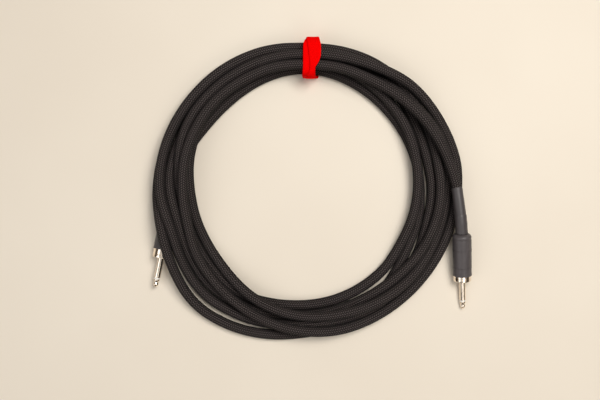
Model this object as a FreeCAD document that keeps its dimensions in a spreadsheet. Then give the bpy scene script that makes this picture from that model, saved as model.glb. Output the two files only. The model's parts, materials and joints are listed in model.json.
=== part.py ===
"""Instrument cable: a coiled woven lead with a straight jack plug at each end and a red tie.

Lengths are millimetres. +Z is up, the cable lies on z = 0, and the origin is the middle of the
cable's footprint. Each plug is drawn along its own X axis, from the tip back to the cable, and is
then placed where it lies.
"""
import FreeCAD
import Part
import math
import os

import Sketcher

Vector = FreeCAD.Vector
document = FreeCAD.newDocument("instrument_cable")

# ------------------------------------------------------------------ driving dimensions
SIZES = {
    # the cable, from the inside out
    "conductor_radius": 0.6,
    "insulation_radius": 2.2,
    "carbon_radius": 2.45,
    "shield_radius": 2.85,
    "jacket_radius": 4.3,
    "cord_radius": 5.2,
    "boot_wall": 0.45,
    "cuff_wall": 0.35,
    # the jack: a 6.35 mm plug that goes 30.5 mm into its socket
    "jack_length": 30.5,
    "jack_radius": 3.175,
    "tip_length": 8.1,
    "nose_radius": 0.9,
    "ball_place": 3.2,
    "ball_radius": 2.95,
    "neck_place": 5.1,
    "neck_radius": 2.25,
    "collar_place": 6.9,
    "insulator_length": 1.5,
    "rod_radius": 1.1,
    "tube_radius": 2.0,
    "play": 0.05,
    # the body behind the jack
    "ring_length": 3.5,
    "ring_radius": 9.15,
    "ring_chamfer": 0.8,
    "spigot_length": 10.0,
    "spigot_radius": 7.45,
    "shell_length": 45.8,
    "shell_radius": 9.1,
    "shell_bore": 7.5,
    "shell_end_wall": 1.8,
    "shell_rounding": 2.2,
    "shrink_wall": 0.5,
    "shrink_right": 36.3,
    "shrink_left": 39.3,
    "liner_front": 46.5,
    "liner_length": 30.5,
    "liner_bore": 6.9,
    "liner_wall": 0.5,
    # the lugs and what is soldered to them
    "lug_thickness": 0.6,
    "washer_thickness": 1.2,
    "washer_radius": 5.0,
    "tip_lug_radius": 3.7,
    "rivet_length": 1.0,
    "rivet_radius": 1.7,
    "tip_tab_height": 1.9,
    "tip_tab_length": 9.0,
    "tip_tab_width": 3.0,
    "strip_height": 5.25,
    "strip_width": 5.0,
    "clamp_front": 67.0,
    "clamp_length": 6.0,
    "conductor_front": 49.5,
    "insulation_front": 55.0,
    "insulation_chamfer": 0.8,
    "core_bend_start": 51.4,
    "core_bend_end": 53.1,
    "carbon_front": 57.5,
    "shield_front": 59.0,
    "jacket_front": 61.5,
    "cord_front": 66.0,
    "pigtail_root": 60.2,
    "pigtail_bend": 58.0,
    "pigtail_front": 50.5,
    "pigtail_radius": 0.8,
    "solder_radius": 1.35,
    "tip_solder_place": 51.7,
    "tip_solder_height": 1.05,
    "ground_solder_place": 52.9,
    "ground_solder_height": -4.5,
    # boots over the cable behind each barrel
    "boot_front": 76.0,
    "boot_end": 127.5,
    "cuff_front": 80.8,
    "cuff_length": 19.0,
    # the tie round the coil
    "tie_left": -10.0,
    "tie_width": 16.5,
    "tie_thickness": 1.5,
    "tie_inner_edge": 112.4,
    "tie_depth": 38.1,
    "tie_height": 32.6,
    "tie_rounding": 8.0,
    "flap_left": -7.0,
    "flap_width": 14.8,
    "flap_thickness": 1.4,
    "flap_gap": 0.3,
    "flap_hinge_height": 26.5,
    "root_drop": 3.6,
    "tab_drop": 10.0,
    "tab_width": 11.0,
    "tab_straight": 2.0,
    "taper_length": 14.0,
    # how much larger a cutting tool is than what it cuts, and how far joined pieces overlap
    "spare": 5.0,
    "overlap": 0.2,
}

sheet = document.addObject("Spreadsheet::Sheet", "dim")
for line, (name, value) in enumerate(SIZES.items(), start=1):
    sheet.set("A%d" % line, name)
    sheet.set("B%d" % line, str(value))
    sheet.setAlias("B%d" % line, name)
document.recompute()


def size(name):
    """The number that a cell of the sheet holds."""
    return float(sheet.get(name))


# ------------------------------------------------------------------ places along a plug, as expressions
TIP_END = "dim.tip_length"
SLEEVE_FRONT = TIP_END + " + dim.insulator_length"
RING_FRONT = "dim.jack_length"
SHELL_FRONT = RING_FRONT + " + dim.ring_length"
SPIGOT_END = SHELL_FRONT + " + dim.spigot_length"
GROUND_LUG_END = SPIGOT_END + " + dim.lug_thickness"
WASHER_END = GROUND_LUG_END + " + dim.washer_thickness"
TIP_LUG_END = WASHER_END + " + dim.lug_thickness"
ROD_END = TIP_LUG_END + " + dim.rivet_length"
SHELL_END = SHELL_FRONT + " + dim.shell_length"

# ------------------------------------------------------------------ where the two plugs and the coil lie
COIL_CENTRE = Vector(-5.8, -2.7, 0)


def plug_placement(tip, lean, nose_down):
    """A plug's tip end, how far its axis leans from +Y towards +X, and how far its nose points down."""
    flat = math.cos(math.radians(nose_down))
    along = Vector(
        flat * math.sin(math.radians(lean)),
        flat * math.cos(math.radians(lean)),
        math.sin(math.radians(nose_down)),
    )
    rotation = FreeCAD.Rotation(along, Vector(0, 0, 0), Vector(0, 0, 1), "XZY")
    return FreeCAD.Placement(tip, rotation)


RIGHT_PLUG = plug_placement(Vector(155.9, -125.6, 2.3), -3.0, 12.4)
LEFT_PLUG = plug_placement(Vector(-162.1, -102.3, 9.65), 11.4, 0.0)


def on_axis(placement, place):
    """A point on a plug's axis, that far back from its tip."""
    return placement.multVec(Vector(place, 0, 0))


# From inside each barrel, through the boot and just into the coil.
RIGHT_STRAIGHT_END = 86.0
LEFT_STRAIGHT_END = 88.0
RIGHT_ROUTE = [
    on_axis(RIGHT_PLUG, size("cord_front")),
    on_axis(RIGHT_PLUG, RIGHT_STRAIGHT_END),
    Vector(149.6, -24.0, 21.6),
    Vector(146.9, -5.0, 21.8),
    Vector(144.2, 9.0, 21.5),
]
LEFT_ROUTE = [
    on_axis(LEFT_PLUG, size("cord_front")),
    on_axis(LEFT_PLUG, LEFT_STRAIGHT_END),
    Vector(-139.0, 13.6, 6.2),
    Vector(-135.7, 30.0, 5.8),
]

# ------------------------------------------------------------------ helpers


def origin_plane(body, role):
    """One of a body's own origin planes."""
    for feature in body.Origin.OriginFeatures:
        if feature.Role == role:
            return feature
    raise ValueError(role)


def outline_sketch(body, role, corners):
    """A closed outline on an origin plane. Each corner is a pair of expressions, or "0" on an axis."""
    sketch = body.newObject("Sketcher::SketchObject", body.Name + "_outline")
    sketch.AttachmentSupport = (origin_plane(body, role), [""])
    sketch.MapMode = "FlatFace"
    count = len(corners)
    rough = [Vector(1 + index, 1 + index % 3, 0) for index in range(count)]
    for index in range(count):
        sketch.addGeometry(Part.LineSegment(rough[index], rough[(index + 1) % count]), False)
    for index in range(count):
        sketch.addConstraint(Sketcher.Constraint("Coincident", index, 2, (index + 1) % count, 1))
    for index, pair in enumerate(corners):
        for kind, axis, text in (("DistanceX", -2, pair[0]), ("DistanceY", -1, pair[1])):
            if text == "0":
                sketch.addConstraint(Sketcher.Constraint("PointOnObject", index, 1, axis))
                continue
            number = sketch.addConstraint(Sketcher.Constraint(kind, -1, 1, index, 1, 1.0 + index))
            sketch.setExpression("Constraints[%d]" % number, text)
    return sketch


def turned(label, placement, corners):
    """A piece turned about the X axis. Corners are (place along the axis, radius)."""
    body = document.addObject("PartDesign::Body", label)
    body.Label = label
    sketch = outline_sketch(body, "XY_Plane", corners)
    revolution = body.newObject("PartDesign::Revolution", label + "_turn")
    revolution.Profile = sketch
    revolution.ReferenceAxis = (sketch, ["H_Axis"])
    revolution.Angle = 360
    sketch.Visibility = False
    body.Placement = placement
    return body


def ring_piece(label, placement, front, back, bore, radius):
    """A plain ring or tube about the X axis."""
    return turned(label, placement, [(front, bore), (front, radius), (back, radius), (back, bore)])


def cylinder(name, front, length, radius):
    """A cylinder along the X axis."""
    piece = document.addObject("Part::Cylinder", name)
    piece.Placement = FreeCAD.Placement(Vector(0, 0, 0), FreeCAD.Rotation(Vector(0, 1, 0), 90))
    piece.setExpression("Placement.Base.x", front)
    piece.setExpression("Height", length)
    piece.setExpression("Radius", radius)
    return piece


def block(name, corner, lengths):
    """A box from its lowest corner and its three lengths, all expressions."""
    piece = document.addObject("Part::Box", name)
    for axis, text in zip("xyz", corner):
        piece.setExpression("Placement.Base." + axis, text)
    for side, text in zip(("Length", "Width", "Height"), lengths):
        piece.setExpression(side, text)
    return piece


def cut(name, base, tool):
    piece = document.addObject("Part::Cut", name)
    piece.Base = base
    piece.Tool = tool
    return piece


def fuse(name, pieces):
    piece = document.addObject("Part::MultiFuse", name)
    piece.Shapes = pieces
    piece.Refine = True
    return piece


def rounded_route(points):
    """Straight runs joined by tangent arcs, each as large as its two runs allow, and the arcs' radii."""
    edges = []
    radii = []
    start = points[0]
    for before, corner, after in zip(points, points[1:], points[2:]):
        arrive = (corner - before).normalize()
        leave = (after - corner).normalize()
        half_turn = arrive.getAngle(leave) / 2
        reach = 0.45 * min((corner - before).Length, (after - corner).Length)
        radius = reach / math.tan(half_turn)
        enter = corner - arrive * reach
        depart = corner + leave * reach
        centre = corner + (leave - arrive).normalize() * (radius / math.cos(half_turn))
        middle = centre + (corner - centre).normalize() * radius
        edges.append(Part.LineSegment(start, enter).toShape())
        edges.append(Part.Arc(enter, middle, depart).toShape())
        radii.append(round(radius, 1))
        start = depart
    edges.append(Part.LineSegment(start, points[-1]).toShape())
    return edges, radii


def route(name, points):
    """A wire along the points' rounded route."""
    edges, radii = rounded_route(points)
    wire = document.addObject("Part::Feature", name)
    wire.Shape = Part.Wire(edges)
    print(name, "length", round(wire.Shape.Length, 1), "radii", radii)
    return wire


def stretch(name, whole, start, end):
    """The part of a route from one distance along it to another."""
    edges = []
    done = 0.0
    for edge in whole.Shape.OrderedEdges:
        low = max(start - done, 0.0)
        high = min(end - done, edge.Length)
        if high - low > 1e-6:
            first = edge.getParameterByLength(low)
            last = edge.getParameterByLength(high)
            edges.append(edge.Curve.toShape(first, last))
        done += edge.Length
    wire = document.addObject("Part::Feature", name)
    wire.Shape = Part.Wire(edges)
    return wire


def swept(name, spine, radius):
    """A round bar of a given radius along a wire."""
    first = spine.Shape.OrderedEdges[0]
    circle = document.addObject("Part::Circle", name + "_section")
    facing = FreeCAD.Rotation(Vector(0, 0, 1), first.tangentAt(first.FirstParameter))
    circle.Placement = FreeCAD.Placement(first.valueAt(first.FirstParameter), facing)
    circle.setExpression("Radius", radius)
    piece = document.addObject("Part::Sweep", name)
    piece.Sections = [circle]
    piece.Spine = (spine, [])
    piece.Solid = True
    piece.Frenet = False
    return piece


def sleeve_over(label, spine, inner, outer):
    """A thin sleeve along a wire."""
    return cut(label, swept(label + "_outside", spine, outer), swept(label + "_inside", spine, inner))


# ------------------------------------------------------------------ the plug


def jack_pieces(side, placement):
    """The jack itself: tip, insulator ring, sleeve with its ring and spigot, and insulating tube."""
    tip = [
        ("0", "0"),
        ("0", "dim.nose_radius"),
        ("dim.ball_place", "dim.ball_radius"),
        ("dim.neck_place", "dim.neck_radius"),
        ("dim.collar_place", "dim.jack_radius"),
        (TIP_END, "dim.jack_radius"),
        (TIP_END, "dim.rod_radius"),
        (TIP_LUG_END, "dim.rod_radius"),
        (TIP_LUG_END, "dim.rivet_radius"),
        (ROD_END, "dim.rivet_radius"),
        (ROD_END, "0"),
    ]
    sleeve = [
        (SLEEVE_FRONT, "dim.tube_radius + dim.play"),
        (SLEEVE_FRONT, "dim.jack_radius"),
        (RING_FRONT, "dim.jack_radius"),
        (RING_FRONT, "dim.ring_radius - dim.ring_chamfer"),
        (RING_FRONT + " + dim.ring_chamfer", "dim.ring_radius"),
        (SHELL_FRONT, "dim.ring_radius"),
        (SHELL_FRONT, "dim.spigot_radius"),
        (SPIGOT_END, "dim.spigot_radius"),
        (SPIGOT_END, "dim.tube_radius + dim.play"),
    ]
    bore = "dim.rod_radius + dim.play"
    return [
        turned(side + "_tip_contact", placement, tip),
        ring_piece(side + "_tip_insulator", placement, TIP_END, SLEEVE_FRONT, bore, "dim.jack_radius"),
        turned(side + "_sleeve", placement, sleeve),
        ring_piece(side + "_rod_tube", placement, SLEEVE_FRONT, GROUND_LUG_END, bore, "dim.tube_radius"),
    ]


def tip_lug(label, placement):
    """A flat ring on the tip's rod, with a tab that runs back over it."""
    disc = cylinder(label + "_disc", WASHER_END, "dim.lug_thickness", "dim.tip_lug_radius")
    tab = block(
        label + "_tab",
        (WASHER_END, "-dim.tip_tab_width / 2", "dim.tip_tab_height"),
        ("dim.tip_tab_length", "dim.tip_tab_width", "dim.lug_thickness"),
    )
    bore = cylinder(label + "_bore", WASHER_END, "dim.tip_tab_length", "dim.rod_radius + dim.play")
    lug = cut(label, fuse(label + "_blank", [disc, tab]), bore)
    lug.Placement = placement
    return lug


def ground_lug(label, placement):
    """A flat ring behind the spigot, a strip along the barrel and a clamp half round the cable."""
    outside = "dim.strip_height + dim.lug_thickness"
    disc = cylinder(label + "_disc", SPIGOT_END, "dim.lug_thickness", outside)
    bore = cylinder(label + "_bore", SPIGOT_END, "dim.lug_thickness", "dim.tube_radius + dim.play")
    strip = block(
        label + "_strip",
        (SPIGOT_END, "-dim.strip_width / 2", "-(" + outside + ")"),
        (
            "dim.clamp_front + dim.clamp_length - (" + SPIGOT_END + ")",
            "dim.strip_width",
            "dim.lug_thickness",
        ),
    )
    band = cylinder(label + "_band", "dim.clamp_front", "dim.clamp_length", outside)
    upper = block(
        label + "_upper",
        ("dim.clamp_front", "-2 * dim.strip_height", "dim.conductor_radius"),
        ("dim.clamp_length", "4 * dim.strip_height", "2 * dim.strip_height"),
    )
    cable = cylinder(
        label + "_cable", "dim.cord_front", "dim.clamp_length + dim.spare", "dim.cord_radius + dim.play"
    )
    ring = cut(label + "_ring", disc, bore)
    clamp = cut(label + "_clamp", band, upper)
    lug = cut(label, fuse(label + "_blank", [ring, strip, clamp]), cable)
    lug.Placement = placement
    return lug


def stripped_cable(side, placement):
    """The cable's end, each layer cut back further than the one under it."""
    end = "dim.cord_front"
    rise = size("tip_tab_height") - size("conductor_radius") - size("play")
    core_route = route(
        side + "_core_route",
        [
            Vector(size("conductor_front"), 0, rise),
            Vector(size("core_bend_start"), 0, rise),
            Vector(size("core_bend_end"), 0, 0),
            Vector(size("cord_front"), 0, 0),
        ],
    )
    conductor = swept(side + "_conductor", core_route, "dim.conductor_radius")
    conductor.Placement = placement
    drop = size("strip_height") - size("pigtail_radius") - size("play")
    pigtail_route = route(
        side + "_pigtail_route",
        [
            Vector(size("pigtail_root"), 0, -size("carbon_radius")),
            Vector(size("pigtail_bend"), 0, -drop),
            Vector(size("pigtail_front"), 0, -drop),
        ],
    )
    pigtail = swept(side + "_pigtail", pigtail_route, "dim.pigtail_radius")
    braid_length = "dim.cord_front - dim.shield_front"
    braid_outside = cylinder(side + "_braid_outside", "dim.shield_front", braid_length, "dim.shield_radius")
    braid_bore = cylinder(side + "_braid_bore", "dim.shield_front", braid_length, "dim.carbon_radius")
    braid = cut(side + "_braid", braid_outside, braid_bore)
    core_room = cylinder(
        side + "_core_room",
        "dim.conductor_front",
        "dim.cord_front - dim.conductor_front",
        "dim.carbon_radius",
    )
    shield = cut(side + "_shield", fuse(side + "_shield_blank", [braid, pigtail]), core_room)
    shield.Placement = placement
    insulation = [
        ("dim.insulation_front + dim.insulation_chamfer", "dim.conductor_radius"),
        ("dim.insulation_front", "dim.insulation_radius - dim.insulation_chamfer"),
        ("dim.insulation_front", "dim.insulation_radius"),
        (end, "dim.insulation_radius"),
        (end, "dim.conductor_radius"),
    ]
    carbon = (side + "_carbon_layer", placement, "dim.carbon_front", end)
    jacket = (side + "_jacket", placement, "dim.jacket_front", end)
    return [
        conductor,
        turned(side + "_insulation", placement, insulation),
        ring_piece(*carbon, "dim.insulation_radius", "dim.carbon_radius"),
        shield,
        ring_piece(*jacket, "dim.shield_radius", "dim.jacket_radius"),
    ]


def solder_joints(side, placement, tip, ground, conductor, shield):
    """A bead on the tip lug's tab round the conductor, and one on the strip round the pigtail."""
    made = []
    for ending, lug, wire in (("tip_solder", tip, conductor), ("ground_solder", ground, shield)):
        name = side + "_" + ending
        place = Vector(size(ending + "_place"), 0, size(ending + "_height"))
        bead = document.addObject("Part::Sphere", name + "_bead")
        bead.setExpression("Radius", "dim.solder_radius")
        bead.Placement = placement.multiply(FreeCAD.Placement(place, FreeCAD.Rotation()))
        made.append(cut(name, cut(name + "_on_lug", bead, lug), wire))
    return made


def barrel_pieces(side, placement, shrink_front):
    """The barrel shell, the insulating liner inside it and the heat-shrink over it."""
    hole = "dim.cord_radius + dim.boot_wall + 2 * dim.play"
    shell = [
        (SHELL_FRONT, "dim.shell_bore"),
        (SHELL_FRONT, "dim.shell_radius"),
        (SHELL_END + " - dim.shell_rounding", "dim.shell_radius"),
        (SHELL_END + " - dim.shell_rounding * 0.3", "dim.shell_radius - dim.shell_rounding * 0.3"),
        (SHELL_END, "dim.shell_radius - dim.shell_rounding"),
        (SHELL_END, hole),
        (SHELL_END + " - dim.shell_end_wall", hole),
        (SHELL_END + " - dim.shell_end_wall", "dim.shell_bore"),
    ]
    inside = "dim.shell_radius + dim.play"
    outside = "dim.shell_radius + dim.play + dim.shrink_wall"
    wall = " + dim.shrink_wall"
    rounded = "dim.shell_rounding"
    shrink = [
        (shrink_front, inside),
        (shrink_front, outside),
        (SHELL_END + " - " + rounded + " + 0.2", outside),
        (SHELL_END + wall + " - " + rounded + " * 0.3", outside + " - " + rounded + " * 0.3"),
        (SHELL_END + wall, outside + " - " + rounded),
        (SHELL_END + wall, hole),
        (SHELL_END + " + dim.play", hole),
        (SHELL_END + " + dim.play", inside + " - " + rounded),
        (SHELL_END + " + dim.play - " + rounded + " * 0.3", inside + " - " + rounded + " * 0.3"),
        (SHELL_END + " - " + rounded, inside),
    ]
    liner_end = "dim.liner_front + dim.liner_length"
    return [
        turned(side + "_barrel_shell", placement, shell),
        ring_piece(
            side + "_barrel_liner", placement, "dim.liner_front", liner_end, "dim.liner_bore",
            "dim.liner_bore + dim.liner_wall",
        ),
        turned(side + "_barrel_shrink", placement, shrink),
    ]


def boot_pieces(side, whole):
    """The heat-shrink boot over the cable, and the shorter cuff shrunk over its front half."""
    begin = size("boot_front") - size("cord_front")
    end = size("boot_end") - size("cord_front")
    boot_spine = stretch(side + "_boot_spine", whole, begin, end)
    cuff_begin = size("cuff_front") - size("cord_front")
    cuff_spine = stretch(side + "_cuff_spine", whole, cuff_begin, cuff_begin + size("cuff_length"))
    inner = "dim.cord_radius + dim.play"
    outer = "dim.cord_radius + dim.boot_wall"
    return [
        sleeve_over(side + "_boot", boot_spine, inner, outer),
        sleeve_over(side + "_boot_cuff", cuff_spine, outer + " + dim.play", outer + " + dim.cuff_wall"),
    ]


def plug(side, placement, shrink_front, points):
    """All of one plug and the short length of cable that joins it to the coil."""
    pieces = jack_pieces(side, placement)
    tip = tip_lug(side + "_tip_lug", placement)
    ground = ground_lug(side + "_ground_lug", placement)
    hole = "dim.rod_radius + dim.play"
    washer = ring_piece(
        side + "_lug_washer", placement, GROUND_LUG_END, WASHER_END, hole, "dim.washer_radius"
    )
    cable_end = stripped_cable(side, placement)
    beads = solder_joints(side, placement, tip, ground, cable_end[0], cable_end[3])
    whole = route(side + "_route", points)
    tail = swept(side + "_tail", whole, "dim.cord_radius")
    pieces += [tip, ground, washer, tail]
    pieces += cable_end + beads
    pieces += barrel_pieces(side, placement, shrink_front)
    pieces += boot_pieces(side, whole)
    return pieces, whole


# ------------------------------------------------------------------ the coil

# Every 30 degrees from +X: inner radius, outer radius and height of the bundle of turns.
COIL_OUTLINE = [
    (108, 160, 28),
    (111, 159, 29),
    (113, 155, 30),
    (112, 156, 33),
    (116, 157, 27),
    (115, 159, 25),
    (114, 161, 33),
    (112, 165, 32),
    (115, 164, 25),
    (112, 154, 24),
    (107, 155, 22),
    (106, 158, 23),
]
FOOT_CHAMFER = 3.0
FOOT_DEPTH = 1.0
TOP_CHAMFER = 8.0
FLOOR_SPAN = 400.0
# Passages through the coil for the plugs that lie under and on it.
CHANNEL_DEPTH = 30.0
BARREL_ROOM = 10.1
BARREL_ROOM_FRONT = 15.0
BARREL_ROOM_END = 81.0
BOOT_ROOM = 6.2
LEFT_BOOT_ROOM_END = 128.1
RIGHT_BOOT_LINE = plug_placement(Vector(152.2, -52.0, 20.5), -6.5, 1.2)
RIGHT_BOOT_ROOM = 7.2
RIGHT_BOOT_ROOM_END = 53.0


def coil_section(number):
    """The bundle's eight-sided section at one clock place."""
    inner, outer, height = COIL_OUTLINE[number % len(COIL_OUTLINE)]
    angle = 2 * math.pi * number / len(COIL_OUTLINE)
    corners = [
        (inner + FOOT_CHAMFER, -FOOT_DEPTH),
        (outer - FOOT_CHAMFER, -FOOT_DEPTH),
        (outer, FOOT_CHAMFER),
        (outer, height - TOP_CHAMFER),
        (outer - TOP_CHAMFER, height),
        (inner + TOP_CHAMFER, height),
        (inner, height - TOP_CHAMFER),
        (inner, FOOT_CHAMFER),
    ]
    points = [
        COIL_CENTRE + Vector(radius * math.cos(angle), radius * math.sin(angle), level)
        for radius, level in corners
    ]
    wire = document.addObject("Part::Feature", "coil_section_%02d" % number)
    wire.Shape = Part.makePolygon(points + [points[0]])
    return wire


def channel(name, placement, front, back, radius, sky):
    """A straight round passage along a placement's X axis, open to the sky or else to the floor."""
    length = str(back - front)
    bar = cylinder(name + "_bar", str(front), length, str(radius))
    floor = "0" if sky else str(-CHANNEL_DEPTH)
    side = block(
        name + "_side",
        (str(front), str(-radius), floor),
        (length, str(2 * radius), str(CHANNEL_DEPTH)),
    )
    passage = fuse(name, [bar, side])
    passage.Placement = placement
    return passage


def below_floor():
    """Everything under z = 0, so that the coil stands on a flat face."""
    return block(
        "below_floor",
        (str(-FLOOR_SPAN / 2), str(-FLOOR_SPAN / 2), str(-2 * FOOT_DEPTH)),
        (str(FLOOR_SPAN), str(FLOOR_SPAN), str(2 * FOOT_DEPTH)),
    )


def coil():
    """The bundle of turns as one closed solid, with room for what lies under and on it."""
    sections = [coil_section(number) for number in range(len(COIL_OUTLINE) + 1)]
    half = len(COIL_OUTLINE) // 2
    halves = []
    for name, first in (("coil_back_half", 0), ("coil_front_half", half)):
        loft = document.addObject("Part::Loft", name)
        loft.Sections = sections[first:first + half + 1]
        loft.Solid = True
        loft.Ruled = False
        halves.append(loft)
    barrel = (BARREL_ROOM_FRONT, BARREL_ROOM_END, BARREL_ROOM)
    rooms = [
        waist_room(),
        below_floor(),
        channel("left_boot_room", LEFT_PLUG, BARREL_ROOM_END, LEFT_BOOT_ROOM_END, BOOT_ROOM, False),
        channel("left_barrel_room", LEFT_PLUG, *barrel, False),
        channel("right_barrel_room", RIGHT_PLUG, *barrel, True),
        channel("right_boot_room", RIGHT_BOOT_LINE, 0.0, RIGHT_BOOT_ROOM_END, RIGHT_BOOT_ROOM, True),
    ]
    remaining = fuse("coil_ring", halves)
    for room in rooms:
        name = "cable_coil" if room is rooms[-1] else "coil_less_" + room.Name
        remaining = cut(name, remaining, room)
    return remaining


# ------------------------------------------------------------------ the tie

WAIST_GAP = 0.4
WAIST_SIDE_GAP = 0.4
WAIST_MARGIN = 12.0


def rounded_bar(name, left, edge, floor, width, depth, height, radius):
    """A bar along X with its four long edges rounded."""
    bar = block(name + "_bar", (left, edge, floor), (width, depth, height))
    document.recompute()
    long_edges = [
        number
        for number, line in enumerate(bar.Shape.Edges, start=1)
        if abs(line.tangentAt(line.FirstParameter).x) > 0.99
    ]
    rounded = document.addObject("Part::Fillet", name)
    rounded.Base = bar
    rounded.Edges = [(number, radius, radius) for number in long_edges]
    return rounded


def tie_inside(name, gap):
    """The space that the tie closes round, made smaller by a gap and longer than the tie is wide."""
    wall = "dim.tie_thickness + %s" % gap
    return rounded_bar(
        name,
        "dim.tie_left - dim.spare",
        "dim.tie_inner_edge + " + wall,
        wall,
        "dim.tie_width + 2 * dim.spare",
        "dim.tie_depth - 2 * (" + wall + ")",
        "dim.tie_height - 2 * (" + wall + ")",
        size("tie_rounding") - size("tie_thickness") - gap,
    )


def waist_room():
    """All that is outside the tie's opening, over the width of the tie and its flap."""
    around = block(
        "waist_around",
        (
            "dim.tie_left - %s" % WAIST_SIDE_GAP,
            "dim.tie_inner_edge - %s" % WAIST_MARGIN,
            str(-FOOT_DEPTH),
        ),
        (
            "dim.flap_left + dim.flap_width - dim.tie_left + 2 * %s" % WAIST_SIDE_GAP,
            "dim.tie_depth + 2 * %s" % WAIST_MARGIN,
            "dim.tie_height + %s" % WAIST_MARGIN,
        ),
    )
    return cut("waist_room", around, tie_inside("waist_opening", WAIST_GAP))


def tie_wrap():
    """A closed band round the coil, two layers thick below the flap's hinge on its outer side."""
    outside = rounded_bar(
        "tie_outside", "dim.tie_left", "dim.tie_inner_edge", "0",
        "dim.tie_width", "dim.tie_depth", "dim.tie_height", size("tie_rounding"),
    )
    band = cut("tie_band", outside, tie_inside("tie_opening", 0.0))
    root = block(
        "tie_root",
        ("dim.flap_left", "dim.tie_inner_edge + dim.tie_depth - dim.overlap", "dim.tie_rounding"),
        (
            "dim.tie_left + dim.tie_width - dim.flap_left",
            "dim.flap_gap + dim.flap_thickness + dim.overlap",
            "dim.flap_hinge_height - dim.root_drop - dim.tie_rounding",
        ),
    )
    return fuse("tie_wrap", [band, root])


def flap_layer(name, side_room, distance):
    """A rounded bar at a distance outside the tie's band, as wide as the flap and its side room."""
    return rounded_bar(
        name,
        "dim.flap_left - %s" % side_room,
        "dim.tie_inner_edge - %s" % distance,
        "-%s" % distance,
        "dim.flap_width + 2 * %s" % side_room,
        "dim.tie_depth + 2 * %s" % distance,
        "dim.tie_height + 2 * %s" % distance,
        size("tie_rounding") + distance,
    )


def below_flap(name, edge, level):
    """All of one half of the tie's depth that is lower than a level."""
    return block(
        name,
        ("dim.flap_left - dim.spare", edge, "-dim.spare"),
        ("dim.flap_width + 2 * dim.spare", "dim.tie_depth / 2 + dim.spare", level + " + dim.spare"),
    )


def tab_taper():
    """What is cut off one side of the strap so that its end is a narrower tab."""
    spare = size("spare")
    right = size("flap_left") + size("flap_width") + spare
    narrow = size("flap_left") + size("tab_width")
    edge = size("tie_inner_edge")
    corners = [
        Vector(right, edge - spare, 0),
        Vector(narrow, edge - spare, 0),
        Vector(narrow, edge + size("tab_straight"), 0),
        Vector(right, edge + size("taper_length"), 0),
    ]
    taper = document.addObject("Part::Feature", "flap_taper")
    face = Part.Face(Part.makePolygon(corners + [corners[0]]))
    taper.Shape = face.extrude(Vector(0, 0, size("tie_height") + spare))
    return taper


def tie_flap():
    """The strap's free end: over the top of the bundle, down its inner side, narrower at the tab."""
    gap = size("flap_gap")
    outside = flap_layer("flap_outside", 0.0, gap + size("flap_thickness"))
    inside = flap_layer("flap_inside", size("spare"), gap)
    waste = [
        below_flap("flap_below_tab", "dim.tie_inner_edge - dim.spare", "dim.tie_height - dim.tab_drop"),
        below_flap("flap_below_hinge", "dim.tie_inner_edge + dim.tie_depth / 2", "dim.flap_hinge_height"),
        tab_taper(),
    ]
    panel = cut("flap_panel", cut("flap_shell", outside, inside), fuse("flap_waste", waste))
    fold = cylinder("flap_fold", "dim.flap_left", "dim.flap_width", "dim.flap_thickness / 2")
    fold.setExpression(
        "Placement.Base.y",
        "dim.tie_inner_edge + dim.tie_depth + dim.flap_gap + dim.flap_thickness / 2",
    )
    fold.setExpression("Placement.Base.z", "dim.flap_hinge_height")
    return fuse("tie_flap", [panel, fold])


# ------------------------------------------------------------------ build, check and write

subparts, left_route = plug("left", LEFT_PLUG, "dim.shrink_left", LEFT_ROUTE)
right_pieces, right_route = plug("right", RIGHT_PLUG, "dim.shrink_right", RIGHT_ROUTE)
subparts += right_pieces
subparts += [coil(), tie_wrap(), tie_flap()]
document.recompute()

broken = [item.Name for item in document.Objects if "Invalid" in item.State or "Error" in item.State]
if broken:
    raise RuntimeError("these objects failed: " + ", ".join(broken))

os.makedirs("parts", exist_ok=True)
whole_box = FreeCAD.BoundBox()
for piece in subparts:
    piece.Label = piece.Name
    shape = piece.Shape
    if shape.isNull() or not shape.isValid() or not shape.Solids:
        raise RuntimeError(piece.Name + " has no valid solid")
    whole_box.add(shape.BoundBox)
    shape.exportStep("parts/%s.step" % piece.Label)
    print(piece.Name, "solids", len(shape.Solids), "volume", round(shape.Volume, 1))
print("box", whole_box)
for side, line in (("left", left_route), ("right", right_route)):
    tail = document.getObject(side + "_tail").Shape
    section = math.pi * size("cord_radius") ** 2
    share = tail.Volume / (section * line.Shape.Length)
    print(side, "tail volume over section times length", round(share, 3))
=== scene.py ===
"""The looks of a coiled instrument cable: woven jacket, two jack plugs in heat-shrink, and a red tie."""
import json
import math

import bmesh
import bpy
import numpy as np
from mathutils import Matrix, Vector, noise


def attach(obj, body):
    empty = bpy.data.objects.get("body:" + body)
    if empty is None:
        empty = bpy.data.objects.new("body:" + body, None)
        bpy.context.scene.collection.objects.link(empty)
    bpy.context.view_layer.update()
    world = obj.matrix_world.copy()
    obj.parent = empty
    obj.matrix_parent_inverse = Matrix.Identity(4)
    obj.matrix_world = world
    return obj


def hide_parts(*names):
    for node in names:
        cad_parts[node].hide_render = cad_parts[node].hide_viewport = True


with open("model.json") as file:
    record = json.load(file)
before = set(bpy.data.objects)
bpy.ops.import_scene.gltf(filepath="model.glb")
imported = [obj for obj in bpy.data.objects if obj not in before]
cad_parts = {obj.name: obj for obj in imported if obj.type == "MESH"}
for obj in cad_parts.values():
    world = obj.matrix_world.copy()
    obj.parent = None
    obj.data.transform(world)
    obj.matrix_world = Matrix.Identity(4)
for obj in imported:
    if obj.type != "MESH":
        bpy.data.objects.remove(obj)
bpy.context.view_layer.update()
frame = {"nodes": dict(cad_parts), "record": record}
MM = 0.001

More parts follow.
